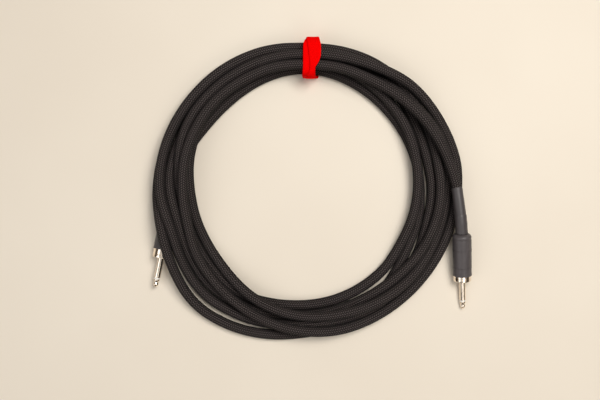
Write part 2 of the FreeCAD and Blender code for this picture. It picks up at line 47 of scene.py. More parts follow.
# ------------------------------------------------------------------ camera
# The camera looks straight down. IMAGE_SPAN is the width of floor that it takes in, and CAMERA_PLACE is
# its X and Y, in metres. LENS and SENSOR are in millimetres.
IMAGE_SPAN = 0.625
LENS = 50.0
SENSOR = 36.0
CAMERA_PLACE = (-0.013, -0.013)

camera_data = bpy.data.cameras.new("camera")
camera_data.lens = LENS
camera_data.sensor_width = SENSOR
camera = bpy.data.objects.new("camera", camera_data)
camera.location = (CAMERA_PLACE[0], CAMERA_PLACE[1], IMAGE_SPAN * LENS / SENSOR)
bpy.context.collection.objects.link(camera)
bpy.context.scene.camera = camera

# ------------------------------------------------------------------ driving sizes, in millimetres
CORD = 10.4
COIL_CENTRE = np.array([-5.8, -2.7])
# Where each plug's tip lies, and in degrees how far the plug turns from +Y towards +X and how far its
# nose points down.
RIGHT_TIP = Vector((155.9, -125.6, 2.3))
RIGHT_LEAN = -3.0
RIGHT_NOSE_DOWN = 12.4
LEFT_TIP = Vector((-162.1, -102.3, 9.65))
LEFT_LEAN = 11.4
LEFT_NOSE_DOWN = 0.0
# Distances along a plug, back from its tip, and its barrel's radius and heat-shrink.
JACK_LENGTH = 30.5
RING_LENGTH = 3.5
BARREL_END = 79.8
BARREL_RADIUS = 9.1
SHRINK_WALL = 0.55
BOOT_END = 127.5
CORD_FRONT = 66.0


def plug_matrix(tip, lean, nose_down):
    """From a plug's own frame, +X back from its tip, to where it lies. Millimetres."""
    flat = math.cos(math.radians(nose_down))
    along = Vector(
        (
            flat * math.sin(math.radians(lean)),
            flat * math.cos(math.radians(lean)),
            math.sin(math.radians(nose_down)),
        )
    )
    side = Vector((0, 0, 1)).cross(along).normalized()
    up = along.cross(side)
    turn = Matrix((along, side, up)).transposed().to_4x4()
    return Matrix.Translation(tip) @ turn


RIGHT_PLUG = plug_matrix(RIGHT_TIP, RIGHT_LEAN, RIGHT_NOSE_DOWN)
LEFT_PLUG = plug_matrix(LEFT_TIP, LEFT_LEAN, LEFT_NOSE_DOWN)


def on_axis(plug, place):
    """A point on a plug's axis, that far back from its tip, as an array."""
    return np.array(plug @ Vector((place, 0, 0)))


# ------------------------------------------------------------------ the cable's route
# Each turn's radius every 15 degrees from +X, in millimetres, from the right plug to the left one.
TURNS = [
    [153, 146, 139, 133, 129, 128, 127, 129, 129, 130, 129, 128,
     127, 128, 132, 134, 137, 141, 144, 147, 148, 149, 150, 151],
    [151, 151, 151, 148, 142, 139, 138, 139, 141, 141, 141, 138,
     135, 131, 128, 128, 129, 125, 121, 118, 116, 115, 113, 113],
    [114, 116, 120, 124, 129, 131, 131, 131, 130, 130, 128, 125,
     121, 119, 118, 119, 123, 127, 130, 131, 134, 137, 141, 143],
    [146, 147, 143, 137, 135, 135, 136, 137, 138, 139, 140, 139,
     137, 136, 139, 141, 138, 133, 130, 128, 127, 129, 133, 136],
    [138, 138, 140, 143, 146, 146, 145, 148, 149, 150, 151, 151,
     149, 144, 148, 150, 144, 140, 137, 136, 137, 135, 132, 129],
    [132, 134, 136, 140, 143, 144, 145, 146, 148, 149, 151, 152,
     151, 148, 156, 164, 161, 154, 146, 142, 135, 126, 119, 118],
    [117, 117, 117, 118, 120, 123, 126, 126, 126, 124, 125, 130],
]
CLOCK_STEP = 15.0
# How high each stretch starts in the pile: (degrees wound so far, level). One level is LEVEL_RISE times
# the cable's thickness. Where two turns cross, the one with the higher level lies on top.
LEVELS = [
    (0, 7), (285, 7), (300, 4), (315, 0.5), (390, 0.5), (405, 4), (420, 6),
    (540, 6), (555, 4.5), (570, 2), (585, 0.5), (645, 0.5), (660, 1), (675, 4),
    (690, 5.5), (715, 5.5), (720, 5), (1075, 5), (1080, 4), (1435, 4), (1440, 3.5),
    (1755, 3.5), (1785, 2.5), (1800, 2), (2085, 2), (2145, 1.5), (2160, 1), (2400, 1),
]
LEVEL_RISE = 1.02
# Degrees wound where the coil begins behind the right plug's boot and ends at the left one's.
WOUND_FROM = 2.0
WOUND_TO = 2328.5
POINTS_PER_TURN = 48
RIGHT_BOOT_END = np.array([145.8, 2.2, 21.8])
LEFT_BOOT_END = np.array([-137.0, 23.8, 5.9])
RIGHT_BOOT_ROUTE = [
    on_axis(RIGHT_PLUG, CORD_FRONT),
    on_axis(RIGHT_PLUG, 86.0),
    (149.6, -24.0, 21.6),
    (146.9, -5.0, 21.8),
]
LEFT_BOOT_ROUTE = [
    (-139.0, 13.6, 6.2),
    on_axis(LEFT_PLUG, 88.0),
    on_axis(LEFT_PLUG, CORD_FRONT),
]
# The room inside the tie: its middle and half width along X, its lowest Y, highest Y and top, the
# thickness of strap under the cable, and how far along X the cable takes to come down from it.
TIE_MIDDLE = -1.5
TIE_HALF_WIDTH = 9.0
TIE_INSIDE = (114.1, 148.8, 31.1)
TIE_FLOOR = 1.7
TIE_FLOOR_EASE = 18.0


def smooth_between(values, place):
    """A Catmull-Rom value between a list's entries."""
    index = int(math.floor(place))
    part = place - index
    last = len(values) - 1
    a, b, c, d = (values[min(max(index + step, 0), last)] for step in (-1, 0, 1, 2))
    return b + 0.5 * part * (c - a + part * (2 * a - 5 * b + 4 * c - d + part * (3 * (b - c) + d - a)))


class Pile:
    """The coil's turns settling onto each other, the floor, the plugs and the inside of the tie."""

    # Stretches aren't compared if they lie more than the cable's thickness and REACH apart, or if they
    # are NEIGHBOURS points or fewer apart along the cable.
    REACH = 13.0
    NEIGHBOURS = 10
    # A point this near the middle of what it crosses is moved straight up or down, not pushed aside.
    # Both are shares of the distance at which the two touch.
    STACKED = 0.4
    OVER_PLUG = 0.85
    # The share of an overlap that each turn takes up at a pass, how much of the averaged shift is made,
    # and the share of an overlap with a plug that is taken up.
    TURN_SHARE = 0.25
    TURN_STEP = 1.6
    PLUG_SHARE = 0.6
    # How smoothly the turns stray from their flat course, and the extra pull near the tie with its
    # reach along X.
    SMOOTHING = 0.3
    TIE_HOLD = 0.25
    TIE_HOLD_REACH = 30.0
    # The room that a plug takes up: where its barrel and boot start, and its boot's and shaft's radii.
    LEFT_BARREL_FRONT = 33.0
    RIGHT_BARREL_FRONT = 34.0
    BOOT_START = BARREL_END + 2
    BOOT_ROOM = 5.8
    SHAFT_ROOM = 3.2
    # How many points at each end of the coil are held by the plug there, and so aren't kept out of it.
    HELD_AT_START = 14
    HELD_AT_END = 10

    def __init__(self):
        count = int((WOUND_TO - WOUND_FROM) / 360 * POINTS_PER_TURN) + 1
        wound = np.linspace(WOUND_FROM, WOUND_TO, count)
        radii = [value for turn in TURNS for value in turn]
        radius = np.array([smooth_between(radii, angle / CLOCK_STEP) for angle in wound])
        angle = np.radians(wound)
        self.level = np.interp(wound, *zip(*LEVELS))
        self.home = COIL_CENTRE + np.stack([radius * np.cos(angle), radius * np.sin(angle)], axis=1)
        self.points = np.column_stack([self.home, CORD / 2 + self.level * CORD * LEVEL_RISE])
        rows, columns = np.meshgrid(np.arange(count), np.arange(count - 1), indexing="ij")
        self.apart = np.abs(rows - columns) > self.NEIGHBOURS
        self.solids = self.plug_solids()

    def plug_solids(self):
        """The plugs as rounded bars: (start, end, radius, points it holds, whether turns lie on it)."""
        left_front = on_axis(LEFT_PLUG, self.LEFT_BARREL_FRONT)
        left_boot = on_axis(LEFT_PLUG, self.BOOT_START)
        right_front = on_axis(RIGHT_PLUG, self.RIGHT_BARREL_FRONT)
        right_boot = on_axis(RIGHT_PLUG, self.BOOT_START)
        near_start = slice(0, self.HELD_AT_START)
        near_end = slice(-self.HELD_AT_END, None)
        barrel = BARREL_RADIUS + SHRINK_WALL
        return [
            (left_front, on_axis(LEFT_PLUG, BARREL_END), barrel, near_end, True),
            (left_boot, LEFT_BOOT_END, self.BOOT_ROOM, near_end, True),
            (on_axis(LEFT_PLUG, 0), on_axis(LEFT_PLUG, JACK_LENGTH), self.SHAFT_ROOM, near_end, True),
            (right_front, on_axis(RIGHT_PLUG, BARREL_END), barrel, near_start, False),
            (right_boot, RIGHT_BOOT_END, self.BOOT_ROOM, near_start, False),
        ]

    def stay_out(self):
        """Moves points out of the plugs, up to the floor and into the tie, and holds both ends."""
        points = self.points
        for start, end, radius, own, under in self.solids:
            reach = radius + CORD / 2
            line = end - start
            share = np.clip((points - start) @ line / (line @ line), 0, 1)
            away = points - start - line * share[:, None]
            distance = np.linalg.norm(away, axis=1)
            beside = np.linalg.norm(away[:, :2], axis=1)
            inside = distance < reach
            inside[own] = False
            over = inside & under & (beside < self.OVER_PLUG * reach)
            points[over, 2] += np.sqrt(reach**2 - beside[over] ** 2) - away[over, 2]
            inside &= ~over
            push = (reach - distance[inside]) * self.PLUG_SHARE / np.maximum(distance[inside], 1e-6)
            points[inside] += away[inside] * push[:, None]
        tied = (np.abs(points[:, 0] - TIE_MIDDLE) < TIE_HALF_WIDTH) & (points[:, 1] > 0)
        low, high, top = TIE_INSIDE
        points[tied, 1] = np.clip(points[tied, 1], low + CORD / 2, high - CORD / 2)
        points[tied, 2] = np.minimum(points[tied, 2], top - CORD / 2)
        near_tie = np.exp(-(((points[:, 0] - TIE_MIDDLE) / TIE_FLOOR_EASE) ** 2)) * (points[:, 1] > 0)
        points[:, 2] = np.maximum(points[:, 2], CORD / 2 + TIE_FLOOR * near_tie)
        points[0] = RIGHT_BOOT_END
        points[-1] = LEFT_BOOT_END

    def part_turns(self, passes):
        """Pushes overlapping turns apart: straight up and down where one lies on another."""
        points = self.points
        middle = (points[1:] + points[:-1]) / 2
        gap = points[:, None, :2] - middle[None, :, :2]
        rows, columns = np.nonzero(self.apart & ((gap**2).sum(axis=2) < (CORD + self.REACH) ** 2))
        order = np.sign(self.level[rows] - self.level[columns])
        for _ in range(passes):
            start = points[columns]
            run = points[columns + 1] - start
            flat_run = (run[:, :2] ** 2).sum(axis=1)
            share = np.clip(((points[rows] - start)[:, :2] * run[:, :2]).sum(axis=1) / flat_run, 0, 1)
            away = points[rows] - start - run * share[:, None]
            beside = np.linalg.norm(away[:, :2], axis=1)
            distance = np.linalg.norm(away, axis=1)
            stacked = (beside < self.STACKED * CORD) & (order != 0)
            short = np.sqrt(np.maximum(CORD**2 - beside**2, 0)) - order * away[:, 2]
            lift = np.where(stacked & (short > 0), short * order, 0)
            overlap = np.where(~stacked & (distance < CORD), CORD - distance, 0)
            push = overlap / np.maximum(distance, 1e-6)
            move = away * push[:, None] * self.TURN_SHARE
            move[:, 2] += lift * self.TURN_SHARE
            touching = (lift != 0) | (push != 0)
            shift = np.zeros_like(points)
            weight = np.zeros(len(points))
            sides = ((rows, 1.0, 1), (columns, 1 - share, -1), (columns + 1, share, -1))
            for index, amount, sign in sides:
                amount = np.where(touching, amount, 0)
                np.add.at(shift, index, sign * move * amount[:, None])
                np.add.at(weight, index, amount)
            points += shift / np.maximum(weight, 1)[:, None] * self.TURN_STEP
            self.stay_out()

    def settle(self, steps, fall, pull, passes, stiffness):
        """Lets the pile fall a little at a time, with each turn pulled towards its own place."""
        points = self.points
        for _ in range(steps):
            points[:, 2] -= fall
            from_tie = (self.home[:, 0] - TIE_MIDDLE) / self.TIE_HOLD_REACH
            held = np.exp(-(from_tie**2)) * (self.home[:, 1] > 0)
            hold = pull + self.TIE_HOLD * held
            points[:, :2] += (self.home - points[:, :2]) * hold[:, None]
            strayed = points[:, :2] - self.home
            strayed[1:-1] += self.SMOOTHING * ((strayed[:-2] + strayed[2:]) / 2 - strayed[1:-1])
            points[:, :2] = self.home + strayed
            height = points[:, 2]
            around = (4 * height[1:-3] + 4 * height[3:-1] - height[:-4] - height[4:]) / 6
            height[2:-2] += stiffness * (around - height[2:-2])
            self.part_turns(passes)


def cable_points():
    """The whole cable's control points, from inside the right barrel to inside the left one, in metres.

    The pile falls, falls more slowly, and then stays where it is while its last overlaps are parted.
    """
    pile = Pile()
    pile.settle(steps=320, fall=0.3, pull=0.12, passes=4, stiffness=0.5)
    pile.settle(steps=80, fall=0.1, pull=0.12, passes=4, stiffness=0.5)
    pile.settle(steps=40, fall=0.0, pull=0.03, passes=6, stiffness=0.2)
    points = RIGHT_BOOT_ROUTE + list(pile.points) + LEFT_BOOT_ROUTE
    return [Vector(point) * MM for point in points]


def spline_points(name, points, resolution):
    """Points along one open NURBS spline that has these control points."""
    data = bpy.data.curves.new(name, "CURVE")
    data.dimensions = "3D"
    data.resolution_u = resolution
    spline = data.splines.new("NURBS")
    spline.points.add(len(points) - 1)
    for entry, point in zip(spline.points, points):
        entry.co = (*point, 1)
    spline.order_u = 3
    spline.use_endpoint_u = True
    holder = bpy.data.objects.new(name, data)
    bpy.context.collection.objects.link(holder)
    bpy.context.view_layer.update()
    mesh = bpy.data.meshes.new_from_object(holder)
    along = [vertex.co.copy() for vertex in mesh.vertices]
    bpy.data.objects.remove(holder)
    bpy.data.meshes.remove(mesh)
    return along


# ------------------------------------------------------------------ materials


class Surface:
    """A Principled material with short ways to add nodes."""

    def __init__(self, name, colour, roughness, metallic=0.0, **constants):
        self.material = bpy.data.materials.new(name)
        self.material.use_nodes = True
        self.nodes = self.material.node_tree.nodes
        self.links = self.material.node_tree.links
        self.shader = self.nodes["Principled BSDF"]
        self.set("Base Color", (*colour, 1))
        self.set("Roughness", roughness)
        self.set("Metallic", metallic)
        for socket, value in constants.items():
            self.set(socket.replace("_", " "), value)
        self.place = self.nodes.new("ShaderNodeTexCoord").outputs["Object"]

    def set(self, socket, value):
        self.shader.inputs[socket].default_value = value

    def plug(self, value, socket):
        """Sets a node's input, or links it if the value is another node's output."""
        if isinstance(value, bpy.types.NodeSocket):
            self.links.new(value, socket)
        else:
            socket.default_value = value

    def math(self, operation, first, second=0.0, third=None):
        node = self.nodes.new("ShaderNodeMath")
        node.operation = operation
        self.plug(first, node.inputs[0])
        self.plug(second, node.inputs[1])
        if third is not None:
            self.plug(third, node.inputs[2])
        return node.outputs[0]

    def noise(self, scale, detail=4.0, roughness=0.55, stretch=(1, 1, 1)):
        """Noise in the object's own space, from 0 to 1."""
        mapping = self.nodes.new("ShaderNodeMapping")
        mapping.inputs["Scale"].default_value = stretch
        self.links.new(self.place, mapping.inputs["Vector"])
        node = self.nodes.new("ShaderNodeTexNoise")
        node.inputs["Scale"].default_value = scale
        node.inputs["Detail"].default_value = detail
        node.inputs["Roughness"].default_value = roughness
        self.links.new(mapping.outputs[0], node.inputs["Vector"])
        return node.outputs["Fac"]

    def range(self, value, low, high, new_low, new_high):
        """A value moved from one range to another, and kept inside it."""
        node = self.nodes.new("ShaderNodeMapRange")
        self.plug(value, node.inputs["Value"])
        limits = {"From Min": low, "From Max": high, "To Min": new_low, "To Max": new_high}
        for socket, number in limits.items():
            node.inputs[socket].default_value = number
        return node.outputs["Result"]

    def blend(self, share, first, second):
        """A colour between two, by a share from 0 to 1."""
        node = self.nodes.new("ShaderNodeMix")
        node.data_type = "RGBA"
        self.plug(share, node.inputs["Factor"])
        for socket, colour in ((node.inputs[6], first), (node.inputs[7], second)):
            self.plug(colour if isinstance(colour, bpy.types.NodeSocket) else (*colour, 1), socket)
        return node.outputs[2]

    def colour(self, value):
        self.links.new(value, self.shader.inputs["Base Color"])

    def roughness(self, value):
        self.links.new(value, self.shader.inputs["Roughness"])

    def bump(self, *layers):
        """Bump layers, each (height, distance in metres, strength)."""
        normal = None
        for height, distance, strength in layers:
            node = self.nodes.new("ShaderNodeBump")
            node.inputs["Distance"].default_value = distance
            node.inputs["Strength"].default_value = strength
            self.links.new(height, node.inputs["Height"])
            if normal is not None:
                self.links.new(normal, node.inputs["Normal"])
            normal = node.outputs["Normal"]
        self.links.new(normal, self.shader.inputs["Normal"])


# The braid: yarns each way round the cable, metres along it for one yarn's width, threads in a yarn, and
# how far threads and yarns stand up.
BRAID_CARRIERS = 14
BRAID_PITCH = 0.0024
BRAID_FILAMENTS = 4.0
FILAMENT_RELIEF = 0.04
BRAID_RELIEF = 0.0007
# Its colours between the yarns, on top of them and where they are rubbed. The colour between the yarns
# is painted shade in the gaps, and the one on top is the yarn's tone with a painted highlight on its
# crown.
# The last is a share of the first of them, painted shade for the sides of the cable.
BRAID_PAINTED_GAP_SHADE = (0.0012, 0.0011, 0.0011)
BRAID_YARN_AND_PAINTED_HIGHLIGHT = (0.088, 0.073, 0.070)
BRAID_WORN = (0.044, 0.036, 0.035)
BRAID_PAINTED_SIDE_SHADE = 0.3


def woven_jacket():
    """A two-over-two braid of black yarn. UV holds turns around the cable and metres along it.

    The cable's sides are painted darker than its top, by the way the surface faces, as painted shade
    between turns. The gaps between the yarns are painted near black as shade, and the yarns' crowns
    lighter as a painted highlight.
    """
    yarn = Surface("woven_jacket", (0.012, 0.0115, 0.0115), 0.5, Sheen_Weight=0.02, Sheen_Roughness=0.4)
    yarn.set("Specular IOR Level", 0.06)
    split = yarn.nodes.new("ShaderNodeSeparateXYZ")
    yarn.links.new(yarn.nodes.new("ShaderNodeUVMap").outputs["UV"], split.inputs[0])
    around = yarn.math("MULTIPLY", split.outputs["X"], float(BRAID_CARRIERS))
    along = yarn.math("DIVIDE", split.outputs["Y"], BRAID_PITCH)
    first = yarn.math("ADD", around, along)
    second = yarn.math("SUBTRACT", around, along)
    heights = []
    for run, cross, phase in ((first, second, 0.0), (second, first, math.pi)):
        across = yarn.math("FRACT", cross)
        hump = yarn.math("MULTIPLY", across, yarn.math("SUBTRACT", 1.0, across))
        profile = yarn.math("SQRT", yarn.math("MULTIPLY", hump, 4.0))
        step = yarn.math("ADD", run, yarn.math("FLOOR", cross))
        turn = yarn.math("MULTIPLY_ADD", step, math.pi / 2, phase)
        over = yarn.math("MULTIPLY_ADD", yarn.math("SINE", turn), 0.5, 0.5)
        fibre = yarn.math("SINE", yarn.math("MULTIPLY", across, 2 * math.pi * BRAID_FILAMENTS))
        body = yarn.math("MULTIPLY", profile, over)
        heights.append(yarn.math("MULTIPLY_ADD", fibre, FILAMENT_RELIEF, body))
    height = yarn.math("MAXIMUM", heights[0], heights[1])
    # Painted shade and highlight: the yarns' low parts take the near-black gap colour, their tops the
    # lighter one.
    painted_relief_shading = yarn.range(height, 0.5, 1.0, 0.0, 1.0)
    wear = yarn.range(yarn.noise(260.0, 3.0), 0.45, 0.75, 0.0, 0.25)
    facing = yarn.nodes.new("ShaderNodeSeparateXYZ")
    yarn.links.new(yarn.nodes.new("ShaderNodeNewGeometry").outputs["Normal"], facing.inputs[0])
    # The rubbed patches are real wear; below them lie the painted gap shade and crown highlight.
    worn_and_painted_shading = yarn.blend(wear, yarn.blend(painted_relief_shading, BRAID_PAINTED_GAP_SHADE, BRAID_YARN_AND_PAINTED_HIGHLIGHT), BRAID_WORN)
    # Painted shade: as the surface turns from facing up, the colour goes down to a share of the gap
    # colour.
    painted_side_shade = tuple(channel * BRAID_PAINTED_SIDE_SHADE for channel in BRAID_PAINTED_GAP_SHADE)
    yarn.colour(yarn.blend(yarn.range(facing.outputs["Z"], -0.1, 0.95, 0.1, 1.0), painted_side_shade, worn_and_painted_shading))
    yarn.roughness(yarn.range(height, 0.4, 1.0, 0.9, 0.42))
    yarn.bump((height, BRAID_RELIEF, 1.0), (yarn.noise(3000.0, 2.0), 0.00005, 0.4))
    return yarn.material


def heat_shrink(name, tone):
    """Satin shrink tube: faint orange peel and soft scuffs a little lighter than the rest."""
    tube = Surface(name, tone, 0.42)
    tube.set("Specular IOR Level", 0.45)
    scuff = tube.range(tube.noise(120.0, 5.0, 0.6, stretch=(1, 0.25, 1)), 0.5, 0.75, 0.0, 1.0)
    lighter = tuple(channel * 1.5 for channel in tone)
    tube.colour(tube.blend(scuff, tone, lighter))
    tube.roughness(tube.range(tube.noise(200.0, 4.0), 0.3, 0.7, 0.36, 0.52))
    tube.bump((tube.noise(900.0, 3.0), 0.00006, 0.35), (tube.noise(90.0, 2.0), 0.0004, 0.25))
    return tube.material


def nickel():
    """Polished nickel plate with fine turning marks and faint handling haze."""
    plate = Surface("nickel", (0.91, 0.81, 0.69), 0.12, metallic=1.0)
    haze = plate.noise(160.0, 5.0, 0.6)
    plate.roughness(plate.range(haze, 0.35, 0.75, 0.07, 0.20))
    dulled = plate.range(haze, 0.4, 0.8, 0.0, 0.6)
    plate.colour(plate.blend(dulled, (0.92, 0.82, 0.70), (0.77, 0.66, 0.53)))
    plate.bump((plate.noise(2400.0, 2.0, 0.5, stretch=(1, 0.05, 0.05)), 0.00001, 0.2))
    return plate.material


def plain(name, colour, roughness, metallic=0.0, grain=600.0, depth=0.00005, spread=0.25):
    """A moulded or drawn material with a fine grain and a slightly uneven tone."""
    stuff = Surface(name, colour, roughness, metallic)
    uneven = stuff.noise(grain * 0.3, 4.0)
    darker = tuple(channel * (1 - spread) for channel in colour)
    stuff.colour(stuff.blend(stuff.range(uneven, 0.35, 0.7, 0.0, 1.0), colour, darker))
    smoother = roughness * 0.85
    rougher = min(1.0, roughness * 1.2)
    stuff.roughness(stuff.range(stuff.noise(grain, 3.0), 0.3, 0.7, smoother, rougher))
    stuff.bump((stuff.noise(grain * 2, 3.0), depth, 0.4))
    return stuff.material


def tie_fabric():
    """Red loop fabric: a felted pile of small tufts, gathered in soft clumps."""
    cloth = Surface("tie_fabric", (0.9, 0.0, 0.0), 0.9, Sheen_Weight=0.3, Sheen_Roughness=0.35)
    cloth.set("Sheen Tint", (1.0, 0.0, 0.0, 1))
    cloth.set("Specular IOR Level", 0.03)
    pile = cloth.noise(1500.0, 4.0, 0.7)
    clumps = cloth.noise(350.0, 3.0)
    tufts = cloth.range(pile, 0.35, 0.7, 0.0, 1.0)
    cloth.colour(cloth.blend(tufts, (0.60, 0.0, 0.0), (0.92, 0.0, 0.0)))
    cloth.bump((pile, 0.0003, 0.6), (clumps, 0.0005, 0.3))
    return cloth.material


MATERIALS = {
    "woven_jacket": woven_jacket(),
    "heat_shrink": heat_shrink("heat_shrink", (0.062, 0.054, 0.056)),
    "boot_shrink": heat_shrink("boot_shrink", (0.048, 0.042, 0.043)),
    "nickel": nickel(),
    "tie_fabric": tie_fabric(),
    "black_plastic": plain("black_plastic", (0.012, 0.012, 0.013), 0.45),
    "white_plastic": plain("white_plastic", (0.78, 0.76, 0.71), 0.5, spread=0.12),
    "tinned_brass": plain("tinned_brass", (0.74, 0.70, 0.60), 0.32, metallic=1.0, depth=0.00003),
    "copper": plain("copper", (0.80, 0.42, 0.25), 0.3, metallic=1.0, grain=1800.0, depth=0.00008),
    "carbon_plastic": plain("carbon_plastic", (0.02, 0.02, 0.022), 0.6),
    "rubber_jacket": plain("rubber_jacket", (0.016, 0.016, 0.016), 0.65),
    "solder": plain("solder", (0.66, 0.67, 0.68), 0.22, metallic=1.0, grain=900.0, depth=0.00006),
}

# ------------------------------------------------------------------ mesh helpers


def mesh_object(name, points, faces, material, uvs=None):
    """A smooth mesh object from points in metres, with a UV pair for each face corner if given."""
    mesh = bpy.data.meshes.new(name)
    mesh.from_pydata([tuple(point) for point in points], [], faces)
    if uvs is not None:
        layer = mesh.uv_layers.new(name="UVMap")
        for loop, pair in zip(layer.data, uvs):
            loop.uv = pair
    mesh.polygons.foreach_set("use_smooth", [True] * len(mesh.polygons))
    mesh.update()
    thing = bpy.data.objects.new(name, mesh)
    bpy.context.collection.objects.link(thing)
    thing.data.materials.append(material)
    return thing


def carried_frames(along):
    """A pair of crossing directions at each point of a path, carried along it without twisting."""
    frames = []
    side = None
    for index in range(len(along)):
        before = along[max(index - 1, 0)]
        after = along[min(index + 1, len(along) - 1)]
        heading = (after - before).normalized()
        if side is None:
            side = heading.cross(Vector((0, 0, 1))).normalized()
        side = (side - heading * side.dot(heading)).normalized()
        frames.append((side, heading.cross(side)))
    return frames


def tube_mesh(name, along, radius, sides, material):
    """A capped round tube. Its UVs hold turns around it and metres along it."""
    frames = carried_frames(along)
    points = []
    lengths = []
    length = 0.0
    for index, (centre, (side, up)) in enumerate(zip(along, frames)):
        if index:
            length += (centre - along[index - 1]).length
        lengths.append(length)
        for step in range(sides):
            angle = 2 * math.pi * step / sides
            points.append(centre + side * (radius * math.cos(angle)) + up * (radius * math.sin(angle)))
    faces = []
    uvs = []
    for index in range(len(along) - 1):
        for step in range(sides):
            after = (step + 1) % sides
            low = index * sides
            high = low + sides
            faces.append((low + step, low + after, high + after, high + step))
            corners = ((step, index), (step + 1, index), (step + 1, index + 1), (step, index + 1))
            for turn, place in corners:
                uvs.append((turn / sides, lengths[place]))
    first_cap = tuple(range(sides - 1, -1, -1))
    last_cap = tuple(range((len(along) - 1) * sides, len(along) * sides))
    for cap, place in ((first_cap, 0), (last_cap, -1)):
        faces.append(cap)
        uvs += [((corner % sides) / sides, lengths[place]) for corner in cap]
    return mesh_object(name, points, faces, material, uvs)


ROUNDING_STEPS = 5
LATHE_SIDES = 96
SHEATH_SIDES = 64


def rounded_outline(corners):
    """Points along an outline of (place, radius, rounding) corners, each corner turned into a curve."""
    points = []
    for index, (place, radius, rounding) in enumerate(corners):
        corner = Vector((place, radius))
        if not rounding or index in (0, len(corners) - 1):
            points.append(corner)
            continue
        before = Vector(corners[index - 1][:2])
        after = Vector(corners[index + 1][:2])
        enter = corner + (before - corner).normalized() * rounding
        leave = corner + (after - corner).normalized() * rounding
        for step in range(ROUNDING_STEPS + 1):
            share = step / ROUNDING_STEPS
            first = enter.lerp(corner, share)
            points.append(first.lerp(corner.lerp(leave, share), share))
    return points


def ring_faces(rings, sides):
    """Faces between rings of points, with the last ring joined to the first."""
    faces = []
    for index in range(rings):
        low = index * sides
        high = (index + 1) % rings * sides
        for step in range(sides):
            after = (step + 1) % sides
            faces.append((low + step, high + step, high + after, low + after))
    return faces


def weld(piece):
    """Joins a mesh's points that fall together and turns its faces outwards."""
    work = bmesh.new()
    work.from_mesh(piece.data)
    bmesh.ops.remove_doubles(work, verts=work.verts, dist=1e-7)
    bmesh.ops.dissolve_degenerate(work, edges=work.edges, dist=1e-8)
    bmesh.ops.recalc_face_normals(work, faces=work.faces)
    work.to_mesh(piece.data)
    work.free()


def lathe(name, plug, corners, material):
    """A piece turned about a plug's axis, from an outline in millimetres that starts and ends inside."""
    outline = rounded_outline(corners)
    points = []
    for place, radius in outline:
        for step in range(LATHE_SIDES):
            angle = 2 * math.pi * step / LATHE_SIDES
            spot = Vector((place, radius * math.cos(angle), radius * math.sin(angle)))
            points.append(plug @ spot * MM)
    piece = mesh_object(name, points, ring_faces(len(outline), LATHE_SIDES), material)
    weld(piece)
    return piece


def frame_on(line, place):
    """The point at a distance along a line of points, and two directions across it."""
    for start, end in zip(line, line[1:]):
        run = (end - start).length
        if place <= run or end is line[-1]:
            heading = (end - start).normalized()
            side = heading.cross(Vector((0, 0, 1))).normalized()
            return start + heading * place, side, heading.cross(side)
        place -= run


def sheath(name, line, corners, material):
    """A tube along part of the cable, from (distance along, radius, rounding) corners in metres."""
    outline = rounded_outline(corners)
    rings = [frame_on(line, place) for place, radius in outline]
    points = []
    for (centre, side, up), (place, radius) in zip(rings, outline):
        for step in range(SHEATH_SIDES):
            angle = 2 * math.pi * step / SHEATH_SIDES
            points.append(centre + side * (radius * math.cos(angle)) + up * (radius * math.sin(angle)))
    piece = mesh_object(name, points, ring_faces(len(outline), SHEATH_SIDES), material)
    weld(piece)
    return piece


# ------------------------------------------------------------------ the cable
CORD_SIDES = 28
ROUTE_RESOLUTION = 6
cable_line = spline_points("cable_route", cable_points(), ROUTE_RESOLUTION)
cable = tube_mesh("cable", cable_line, CORD / 2 * MM, CORD_SIDES, MATERIALS["woven_jacket"])
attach(cable, "root")
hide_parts("cable_coil", "left_tail", "right_tail")

# ------------------------------------------------------------------ the plugs
# Outlines are (distance back from the plug's tip, radius, rounding) corners, in millimetres.
TIP_END = 8.1
SLEEVE_FRONT = 9.6
RING_END = JACK_LENGTH + RING_LENGTH
SPIGOT_END = 44.0
TIP_LUG_END = 46.4
ROD_END = 47.4
JACK_RADIUS = 3.175
ROD_RADIUS = 1.1
ROD_HEAD_RADIUS = 1.7
INSULATOR_GAP = 0.02
INSULATOR_BORE = 1.15
INSULATOR_RADIUS = 3.13
SLEEVE_BORE = 2.05
SPIGOT_RADIUS = 7.45
RING_RADIUS = 9.15
RING_LIP_RADIUS = 8.85
TIP_OUTLINE = [
    (0.0, 0.0, 0),
    (0.0, 1.2, 0.5),
    (2.6, 3.0, 1.0),
    (4.8, 2.2, 0.7),
    (6.9, JACK_RADIUS, 0.35),
    (TIP_END, JACK_RADIUS, 0.12),
    (TIP_END, ROD_RADIUS, 0),
    (TIP_LUG_END, ROD_RADIUS, 0),
    (TIP_LUG_END, ROD_HEAD_RADIUS, 0.1),
    (ROD_END, ROD_HEAD_RADIUS, 0.2),
    (ROD_END, 0.0, 0),
]
INSULATOR_OUTLINE = [
    (TIP_END + INSULATOR_GAP, INSULATOR_BORE, 0),
    (TIP_END + INSULATOR_GAP, INSULATOR_RADIUS, 0.08),
    (SLEEVE_FRONT - INSULATOR_GAP, INSULATOR_RADIUS, 0.08),
    (SLEEVE_FRONT - INSULATOR_GAP, INSULATOR_BORE, 0),
]
SLEEVE_OUTLINE = [
    (SLEEVE_FRONT, SLEEVE_BORE, 0),
    (SLEEVE_FRONT, JACK_RADIUS, 0.15),
    (JACK_LENGTH - 0.5, JACK_RADIUS, 0.3),
    (JACK_LENGTH, JACK_RADIUS + 0.5, 0.3),
    (JACK_LENGTH, RING_RADIUS, 0.6),
    (RING_END - 0.45, RING_RADIUS, 0.2),
    (RING_END - 0.3, RING_LIP_RADIUS, 0.1),
    (RING_END, RING_LIP_RADIUS, 0.1),
    (RING_END, SPIGOT_RADIUS, 0),
    (SPIGOT_END, SPIGOT_RADIUS, 0.2),
    (SPIGOT_END, SLEEVE_BORE, 0),
]
